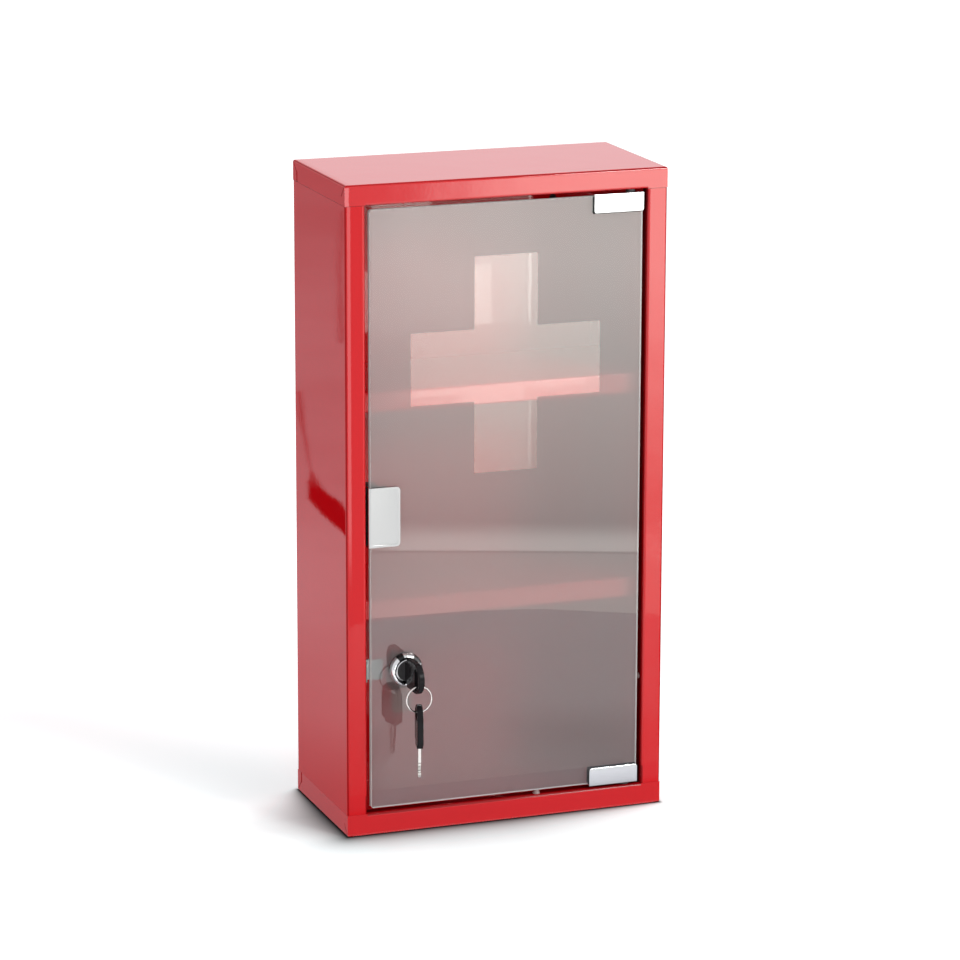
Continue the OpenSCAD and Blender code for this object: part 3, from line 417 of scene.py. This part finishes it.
# ---------------------------------------------------------------- studio
# What the camera sees of the floor, as levels and lengths in metres
TABLE_EDGE = [(-9, -0.72), (-2, -0.68), (-0.4, -0.63), (0.09, -0.605), (0.17, -0.600), (0.23, -0.585),
              (0.30, -0.546), (0.45, -0.46), (0.7, -0.33), (1.2, -0.1), (9, 0.2)]    # shows in the glass
TABLE_BACK = 14
REACH_LEAST = 0.0015        # of the contact shadow
REACH_FRONT = 0.020         # in the middle of the front; it narrows to the right
REACH_LEFT = 0.029          # at the left side's front half; it narrows to the back
REACH_CORNER = 0.019        # at the left front corner
NEAR_TINT = ((0.84, 0.90, 0.90), (0.80, 0.90, 0.90))    # before and beside the cabinet, against its red light
FAN_FROM = (-0.125, 0.06)   # the rear corner that a faint shadow runs back from
FAN_ACROSS = (0.866, 0.5)   # the direction across it
FAN_WIDTH, FAN_LEVEL = 0.11, 0.16
LIFT_NEAR, LIFT_FAR = 0.34, 0.47
# What gloss sees of it: a painted dim spot before the right corner
DIM_SPOT, DIM_R, DIM_LEVEL = (0.14, -0.23), 0.11, 0.4
# Cards and lights
CARD_Z, STRIPE_Z, NEAR_Z = 0.001, 0.002, 0.0015
CARD_COLOUR = (1.0, 0.98, 1.04)
LEFT, FRONT, BACK = cad_box[0].x, cad_box[0].y, cad_box[1].y
WALL_HOLE_R = 3 * MM
WALL_HOLE_X = cad_box[1].x - 42.5 * MM
WALL_HOLE_Z = (0.06, 0.44)
ROOM, ROOM_COLOUR = 0.75, (1.0, 0.995, 1.02)
PANEL_COLOUR = (1.0, 0.99, 0.94)
BACKDROP = 1.05             # what the camera sees of the room
KEY_WATT, TOP_WATT = 44, 15


def mesh_object(name, verts):
    """One flat face with these corners."""
    me = bpy.data.meshes.new(name)
    me.from_pydata(verts, [], [tuple(range(len(verts)))])
    me.update()
    o = bpy.data.objects.new(name, me)
    bpy.context.scene.collection.objects.link(o)
    return o


def times(t, first, *others):
    """Product of the values."""
    for v in others:
        first = t.math("MULTIPLY", first, v)
    return first


def contact_shadow(t, x, y, gap):
    """Where the floor is beside the cabinet, not before it, and how much its contact shadow covers.

    gap is the distance from the cabinet.
    """
    front = t.ramp(x, 0.0, 0.128, REACH_FRONT, REACH_LEAST, smooth=False)
    left = t.math("MINIMUM", t.ramp(y, -0.005, 0.062, REACH_LEFT, REACH_LEAST, smooth=False),
                  t.ramp(y, -0.06, -0.02, REACH_CORNER, REACH_LEFT))
    beside = t.ramp(x, LEFT, LEFT + 0.03, 1.0, 0.0)
    reach = t.math("ADD", times(t, left, beside), times(t, front, t.math("SUBTRACT", 1.0, beside)))
    return beside, t.math("EXPONENT", t.math("DIVIDE", times(t, gap, -1.0), reach))


def fan_shadow(t, x, y):
    """A faint shadow that runs back to the left from the rear corner."""
    off_x = times(t, t.math("SUBTRACT", x, FAN_FROM[0]), FAN_ACROSS[0])
    off_y = times(t, t.math("SUBTRACT", y, FAN_FROM[1]), FAN_ACROSS[1])
    across = t.math("ABSOLUTE", t.math("ADD", off_x, off_y))
    return times(t, t.ramp(across, 0.0, FAN_WIDTH, FAN_LEVEL, 0.0), t.ramp(y, 0.03, 0.06),
                 t.ramp(y, 0.30, 0.42, 1.0, 0.0))


def table():
    """White table top, which ends in front of the cabinet."""
    o = mesh_object("floor", [(x, y, 0) for x, y in TABLE_EDGE + [(9, TABLE_BACK), (-9, TABLE_BACK)]])
    m, t = material("floor", (0.9, 0.9, 0.9))
    x, y, _ = t.xyz(t.coords())
    over_x = t.math("MAXIMUM", t.math("SUBTRACT", t.math("ABSOLUTE", x), cad_box[1].x), 0.0)
    over_y = t.math("MAXIMUM", t.math("SUBTRACT", t.math("ABSOLUTE", y), BACK), 0.0)
    gap = t.math("SQRT", t.math("ADD", times(t, over_x, over_x), times(t, over_y, over_y)))
    white = t.mix(t.noise(t.coords(), 8, 2), (0.895, 0.895, 0.895), (0.905, 0.905, 0.905))
    # painted shadows: the contact shadow and a faint fan shadow darken what the camera sees of the floor, and a tint
    # works against the cabinet's red light
    beside, contact = contact_shadow(t, x, y, gap)
    clear = times(t, t.math("SUBTRACT", 1.0, contact), t.math("SUBTRACT", 1.0, fan_shadow(t, x, y)))
    lit = t.mix(t.ramp(gap, 0.02, 0.26), t.mix(beside, *NEAR_TINT), white)
    lit = t.mix(clear, (0.0, 0.0, 0.0), lit)
    # painted shade in the floor's reflection: a dim spot that only gloss sees
    off_x, off_y = t.math("SUBTRACT", x, DIM_SPOT[0]), t.math("SUBTRACT", y, DIM_SPOT[1])
    off = t.math("SQRT", t.math("ADD", times(t, off_x, off_x), times(t, off_y, off_y)))
    path = t.new("ShaderNodeLightPath").outputs
    dim = times(t, path["Is Glossy Ray"], t.ramp(off, 0.0, DIM_R, DIM_LEVEL, 0.0))
    colour = t.mix(path["Is Camera Ray"], t.mix(dim, white, (0.0, 0.0, 0.0)), lit)
    matt = t.principled(Base_Color=colour, Roughness=0.7, Specular_IOR_Level=0.2)
    # painted light: the floor glows for the camera, less in its painted shadows, and a little in front for gloss
    lift = t.new("ShaderNodeEmission")
    raised = times(t, clear, t.ramp(gap, 0.3, 0.8, LIFT_NEAR, LIFT_FAR))
    t.put(lift.inputs["Strength"], t.math("ADD", times(t, path["Is Camera Ray"], raised),
          times(t, path["Is Glossy Ray"], t.ramp(y, -0.22, -0.10, 0.14, 0.0))))
    both = t.new("ShaderNodeAddShader")
    t.put(both.inputs[0], matt)
    t.put(both.inputs[1], lift.outputs[0])
    t.surface(both.outputs[0])
    o.data.materials.append(m)


table()


def unseen(name, outline, height, level):
    """Flat card over the table that only gloss sees; level is its glow, or a function of the tree and y."""
    o = mesh_object(name, [(x, y, height) for x, y in outline])
    m, t = material(name, (0.4, 0.4, 0.4))
    glow = t.new("ShaderNodeEmission")
    uneven = t.ramp(t.noise(t.coords(), 4, 3), 0.35, 0.65, 0.94, 1.06)
    glow_level = level(t, t.xyz(t.coords())[1]) if callable(level) else level
    t.put(glow.inputs["Strength"], times(t, glow_level, uneven))
    t.put(glow.inputs["Color"], CARD_COLOUR)
    t.surface(glow.outputs[0])
    o.data.materials.append(m)
    o.visible_camera = o.visible_shadow = o.visible_diffuse = False


def dim_table(t, y):
    """The table behind, as the left side's gloss sees it: low close by, fading far off."""
    near = t.ramp(y, 0.0, 0.3, 0.44, 0.68)
    return t.math("SUBTRACT", t.math("SUBTRACT", near, t.ramp(y, 0.7, 0.95, 0.0, 0.15)),
                  t.ramp(y, 1.6, 2.5, 0.0, 0.13))


def near_table(t, y):
    """The table just before the cabinet, where it is in the contact shadow."""
    return t.ramp(y, -0.122, -0.098, 0.74, 0.33)


unseen("dim_card", [(-4, FRONT), (LEFT, FRONT), (LEFT, 6), (-4, 6)], CARD_Z, dim_table)
unseen("dark_right", [(-LEFT, FRONT), (0.55, -0.7), (4, -0.7), (4, 6), (-LEFT, 6)], CARD_Z, 0.04)
unseen("dark_strip", [(-0.423, 0.970), (-0.402, 0.903), (-0.396, 0.846), (-0.388, 0.700), (-0.410, 0.700),
                      (-0.422, 0.845), (-0.427, 0.877), (-0.426, 0.898), (-0.428, 0.970)], STRIPE_Z, 0.0)
unseen("dark_line", [(-0.534, 1.352), (-0.538, 1.351), (-0.504, 1.235), (-0.443, 1.02), (-0.428, 0.940),
                     (-0.415, 0.943), (-0.439, 1.01), (-0.501, 1.240)], STRIPE_Z, 0.12)
unseen("dim_line", [(-0.917, 2.358), (-0.922, 2.357), (-0.814, 2.045), (-0.657, 1.566), (-0.653, 1.570),
                    (-0.810, 2.050)], STRIPE_Z, 0.2)
unseen("near_card", [(-0.25, -0.15), (0.3, -0.15), (0.3, -0.0605), (-0.25, -0.0605)], NEAR_Z, near_table)

# Painted shade: a dark disc just behind each of the four holes in the back stands in for a shadowed surface seen
# through it
circle = [(WALL_HOLE_R * math.cos(math.radians(a)), WALL_HOLE_R * math.sin(math.radians(a)))
          for a in range(0, 360, 15)]
holes = [(x, z) for z in WALL_HOLE_Z for x in (-WALL_HOLE_X, WALL_HOLE_X)]
for i, (hole_x, hole_z) in enumerate(holes):
    hole_shade = mesh_object("wall_%d" % i, [(hole_x + u, BACK - 0.1 * MM, hole_z + v) for u, v in circle])
    m, t = material("wall_%d" % i, (0.1, 0.1, 0.1))
    t.surface(t.principled(Base_Color=(0.02, 0.012, 0.012), Roughness=0.9))
    hole_shade.data.materials.append(m)


def studio():
    """The room round the stage, by azimuth (0 is in front, to the right is positive) and elevation in degrees."""
    world = bpy.data.worlds.new("studio")
    bpy.context.scene.world = world
    world.use_nodes = True
    t = Tree(world.node_tree)
    d = t.xyz(t.new("ShaderNodeTexCoord").outputs["Generated"])
    az = t.math("DEGREES", t.math("ARCTAN2", d[0], times(t, d[1], -1.0)))
    el = t.math("DEGREES", t.math("ARCSINE", d[2]))
    # a bright panel below the table's level, in front to the right, whose lower edge is a bright line
    wide = times(t, t.ramp(az, 15.0, 20.0, 0.0, 1.0), t.ramp(az, 24.0, 60.0, 1.0, 0.0, smooth=False))
    rise = t.ramp(el, -14.6, -10.9, 0.75, 3.35, smooth=False)
    rise = t.math("MAXIMUM", rise, t.ramp(el, -14.92, -14.88, 1.4, 0.0))
    line = times(t, t.ramp(el, -14.90, -14.86, 0.0, 1.7), t.ramp(el, -14.78, -14.45, 1.0, 0.0))
    panel = times(t, t.math("ADD", rise, line), wide, t.ramp(el, -9.3, -7.5, 1.0, 0.0))
    # a low glow behind, for the roof
    behind = t.math("DEGREES", t.math("ARCTAN2", d[0], d[1]))
    sky = times(t, t.ramp(t.math("ABSOLUTE", t.math("SUBTRACT", behind, 20.0)), 12.0, 40.0, 1.0, 0.0),
                t.ramp(el, 2.0, 8.0, 0.0, 0.33), t.ramp(el, 12.0, 25.0, 1.0, 0.0))
    # a narrow strip light, for the left front fold
    strip = times(t, t.ramp(t.math("ABSOLUTE", t.math("SUBTRACT", az, 2.0)), 3.5, 5.5, 2.3, 0.0),
                  t.ramp(t.math("ABSOLUTE", t.math("SUBTRACT", el, -12.0)), 2.5, 3.5, 1.0, 0.0))
    level = t.math("ADD", t.math("ADD", t.math("ADD", ROOM, strip), panel), sky)
    seen = t.new("ShaderNodeLightPath").outputs["Is Camera Ray"]
    level = t.math("ADD", times(t, level, t.math("SUBTRACT", 1.0, seen)), times(t, seen, BACKDROP))
    background = t.new("ShaderNodeBackground")
    t.put(background.inputs["Strength"], level)
    t.put(background.inputs["Color"], t.mix(wide, ROOM_COLOUR, PANEL_COLOUR))
    t.surface(background.outputs[0], "ShaderNodeOutputWorld")


def area(name, loc, target, size, power, gloss=True):
    data = bpy.data.lights.new(name, "AREA")
    data.shape, data.size, data.energy = "DISK", size, power
    o = bpy.data.objects.new(name, data)
    o.location = loc
    o.rotation_euler = (Vector(target) - Vector(loc)).to_track_quat("-Z", "Y").to_euler()
    o.visible_glossy = gloss
    bpy.context.scene.collection.objects.link(o)


studio()
area("key", (1.35, -2.4, 1.45), (0, 0, 0.24), 0.9, KEY_WATT)
area("top", (0, 0, 2.5), (0, 0, 0), 2.0, TOP_WATT, gloss=False)

# ---------------------------------------------------------------- camera
# fitted to the photo together with the carcase's proportions
CAMERA_AT = (-1.03036, -2.8091, 0.98501)
YAW, PITCH, ROLL_ANGLE = math.radians(20.164), math.radians(13.912), math.radians(0.163)
SENSOR_MM, LENS_MM = 36, 157.0

forward = Vector((math.sin(YAW) * math.cos(PITCH), math.cos(YAW) * math.cos(PITCH), -math.sin(PITCH)))
right = Vector((math.cos(YAW), -math.sin(YAW), 0))
up = right.cross(forward)
axes = Matrix((right * math.cos(ROLL_ANGLE) + up * math.sin(ROLL_ANGLE),
               up * math.cos(ROLL_ANGLE) - right * math.sin(ROLL_ANGLE), -forward))
cam_data = bpy.data.cameras.new("camera")
cam_data.sensor_width, cam_data.lens = SENSOR_MM, LENS_MM
cam_data.clip_start, cam_data.clip_end = 0.1, 60
cam = bpy.data.objects.new("camera", cam_data)
bpy.context.scene.collection.objects.link(cam)
cam.matrix_world = Matrix.Translation(CAMERA_AT) @ axes.transposed().to_4x4()
bpy.context.scene.camera = cam

scene = bpy.context.scene
scene.view_settings.view_transform = "Standard"
scene.cycles.max_bounces = 12
scene.cycles.transmission_bounces = 10
scene.cycles.transparent_max_bounces = 12
scene.cycles.caustics_refractive = True
scene.cycles.caustics_reflective = False
